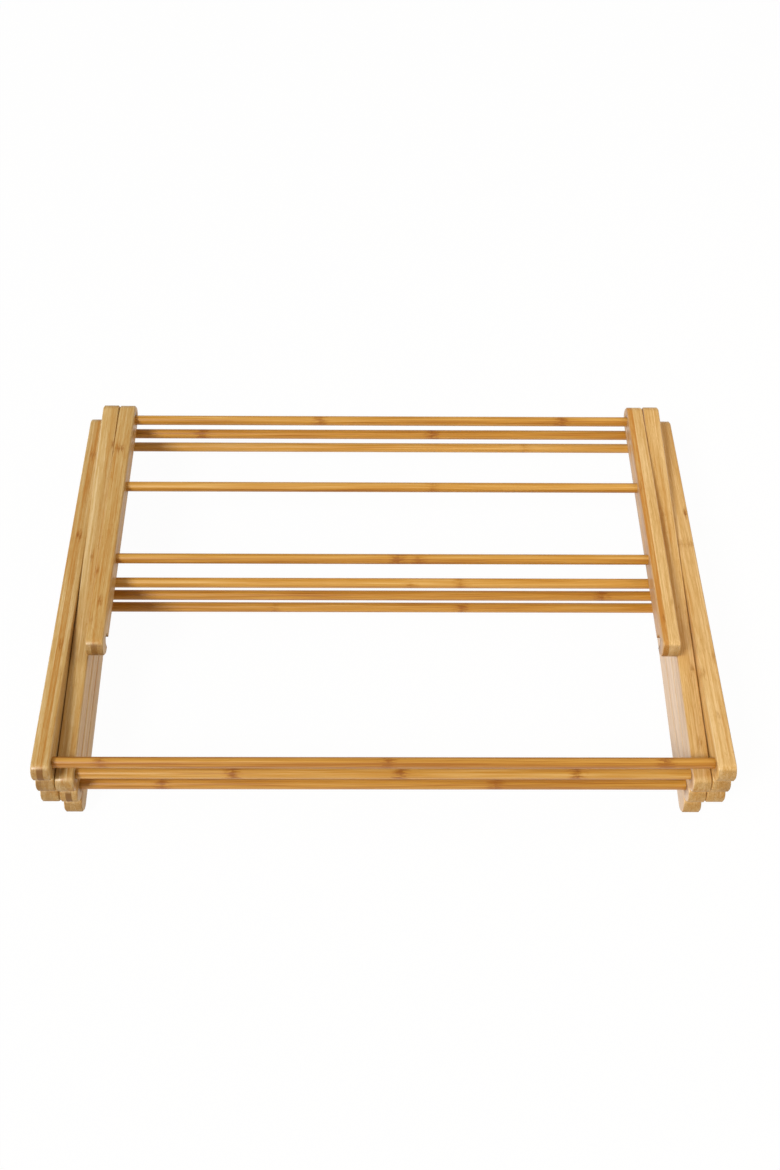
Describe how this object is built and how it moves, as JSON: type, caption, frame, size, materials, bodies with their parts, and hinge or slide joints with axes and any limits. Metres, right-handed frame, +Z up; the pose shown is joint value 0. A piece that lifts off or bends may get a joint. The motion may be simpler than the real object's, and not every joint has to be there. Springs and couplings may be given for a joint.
{
  "type": "clothes drying rack",
  "caption": "Folding bamboo clothes drying rack: scissor side frames of crossed flat bars joined by round hanging rails, with notched hook arms, shown folded flat.",
  "frame": {"origin": "on the floor, under the middle of the folded rack", "axes": "+X along the hanging rails, -Y towards the front, where the catch rail is, +Z up"},
  "size_m": [0.75, 0.5232, 0.114],
  "materials": {
    "bamboo_bar": "satin clear-coated laminated bamboo",
    "bamboo_rail": "satin clear-coated bamboo dowel"
  },
  "bodies": {
    "bottom_axle": {"centre_bottom_rail": "bamboo_rail"},
    "outer_legs": {"bottom_outer_leg_left": "bamboo_bar", "bottom_outer_leg_right": "bamboo_bar", "front_bottom_rail": "bamboo_rail"},
    "inner_legs": {"bottom_inner_leg_left": "bamboo_bar", "bottom_inner_leg_right": "bamboo_bar", "rear_bottom_rail": "bamboo_rail"},
    "middle_outer_bars": {"middle_outer_bar_left": "bamboo_bar", "middle_outer_bar_right": "bamboo_bar", "front_middle_rail": "bamboo_rail"},
    "middle_inner_bars": {"middle_inner_bar_left": "bamboo_bar", "middle_inner_bar_right": "bamboo_bar", "centre_middle_rail": "bamboo_rail"},
    "top_outer_bars": {"top_outer_bar_left": "bamboo_bar", "top_outer_bar_right": "bamboo_bar", "front_top_rail": "bamboo_rail", "centre_top_rail": "bamboo_rail", "rear_middle_rail": "bamboo_rail"},
    "top_inner_bars": {"top_inner_bar_left": "bamboo_bar", "top_inner_bar_right": "bamboo_bar", "rear_top_rail": "bamboo_rail"},
    "hook_arms": {"hook_arm_left": "bamboo_bar", "hook_arm_right": "bamboo_bar", "arm_rear_rail": "bamboo_rail", "arm_front_rail": "bamboo_rail"}
  },
  "joints": [
    {"name": "rack_fold", "type": "hinge", "parent": "bottom_axle", "child": "inner_legs", "pos_m": [0, 0, 0.02655], "axis": [1, 0, 0], "range_deg": [0, 43.89]},
    {"name": "outer_leg_fold", "type": "hinge", "parent": "inner_legs", "child": "outer_legs", "pos_m": [0, 0, 0.02655], "axis": [-1, 0, 0], "range_deg": [0, 87.78]},
    {"name": "middle_outer_fold", "type": "hinge", "parent": "inner_legs", "child": "middle_outer_bars", "pos_m": [0, 0.24164, 0.03972], "axis": [-1, 0, 0], "range_deg": [0, 87.78]},
    {"name": "middle_inner_fold", "type": "hinge", "parent": "outer_legs", "child": "middle_inner_bars", "pos_m": [0, -0.24164, 0.03972], "axis": [1, 0, 0], "range_deg": [0, 87.78]},
    {"name": "top_outer_fold", "type": "hinge", "parent": "middle_inner_bars", "child": "top_outer_bars", "pos_m": [0, 0.24164, 0.06606], "axis": [-1, 0, 0], "range_deg": [0, 87.78]},
    {"name": "top_inner_fold", "type": "hinge", "parent": "middle_outer_bars", "child": "top_inner_bars", "pos_m": [0, -0.24164, 0.06606], "axis": [1, 0, 0], "range_deg": [0, 87.78]},
    {"name": "hook_arm_swing", "type": "hinge", "parent": "top_inner_bars", "child": "hook_arms", "pos_m": [0, 0.24164, 0.0924], "axis": [-1, 0, 0], "range_deg": [0, 43.47]}
  ],
  "couplings": [
    {"joint": "outer_leg_fold", "follows": "rack_fold", "ratio": 2},
    {"joint": "middle_outer_fold", "follows": "rack_fold", "ratio": 2},
    {"joint": "middle_inner_fold", "follows": "rack_fold", "ratio": 2},
    {"joint": "top_outer_fold", "follows": "rack_fold", "ratio": 2},
    {"joint": "top_inner_fold", "follows": "rack_fold", "ratio": 2}
  ]
}
